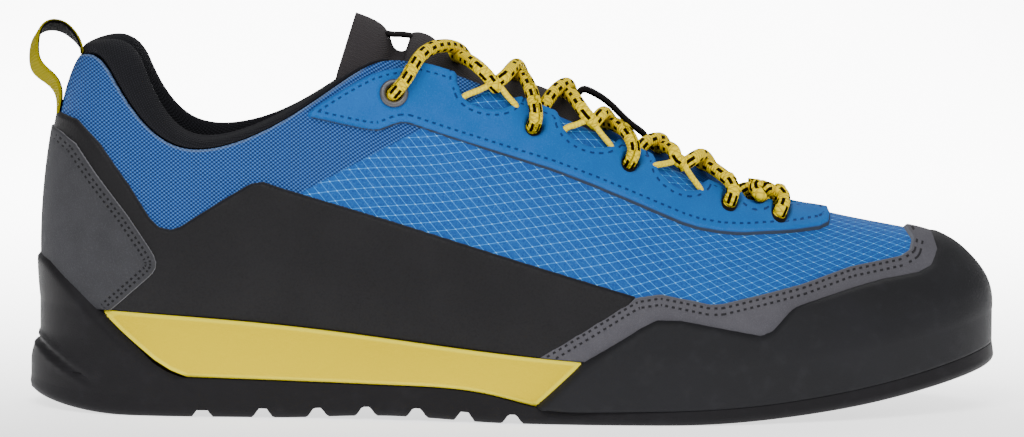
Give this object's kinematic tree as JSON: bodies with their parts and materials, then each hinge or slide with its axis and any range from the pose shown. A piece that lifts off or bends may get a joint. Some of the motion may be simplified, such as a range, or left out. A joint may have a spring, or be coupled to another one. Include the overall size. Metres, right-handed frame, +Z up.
{
  "type": "hiking shoe",
  "caption": "Low hiking shoe for the right foot: fabric upper with overlays, padded collar and tongue, rope lace, foam midsole and lugged rubber sole with a toe rand.",
  "frame": {"origin": "on the floor under the middle of the shoe's bounding box", "axes": "+X from heel to toe, +Y towards the inner side of the right foot, +Z up"},
  "size_m": [0.3028, 0.1053, 0.1226],
  "materials": {
    "outsole_rubber": "matte",
    "midsole_foam": "matte",
    "rand_rubber": "matte",
    "upper_fabric": "woven",
    "eyestay_nubuck": "napped",
    "overlay_film": "matte",
    "grey_overlay": "napped",
    "black_knit": "knitted",
    "insole_fabric": "woven",
    "eyelet_metal": "satin",
    "lace_rope": "braided",
    "yellow_webbing": "woven",
    "black_webbing": "woven"
  },
  "bodies": {
    "root": {"outsole": "outsole_rubber", "midsole": "midsole_foam", "toe_rand": "rand_rubber", "upper": "upper_fabric", "insole": "insole_fabric", "mudguard": "grey_overlay", "heel_counter": "grey_overlay", "quarter_overlay": "overlay_film", "eyestay": "eyestay_nubuck", "tongue": "black_knit", "collar_padding": "black_knit", "eyelet_outer": "eyelet_metal", "eyelet_inner": "eyelet_metal", "lace": "lace_rope", "lace_cord_outer_1": "yellow_webbing", "lace_cord_outer_3": "yellow_webbing", "lace_cord_outer_5": "yellow_webbing", "lace_cord_inner_1": "yellow_webbing", "lace_cord_inner_3": "yellow_webbing", "lace_cord_inner_5": "yellow_webbing", "pull_loop": "yellow_webbing", "tongue_keeper_mid": "black_webbing", "tongue_keeper_top": "black_webbing"}
  },
  "joints": []
}
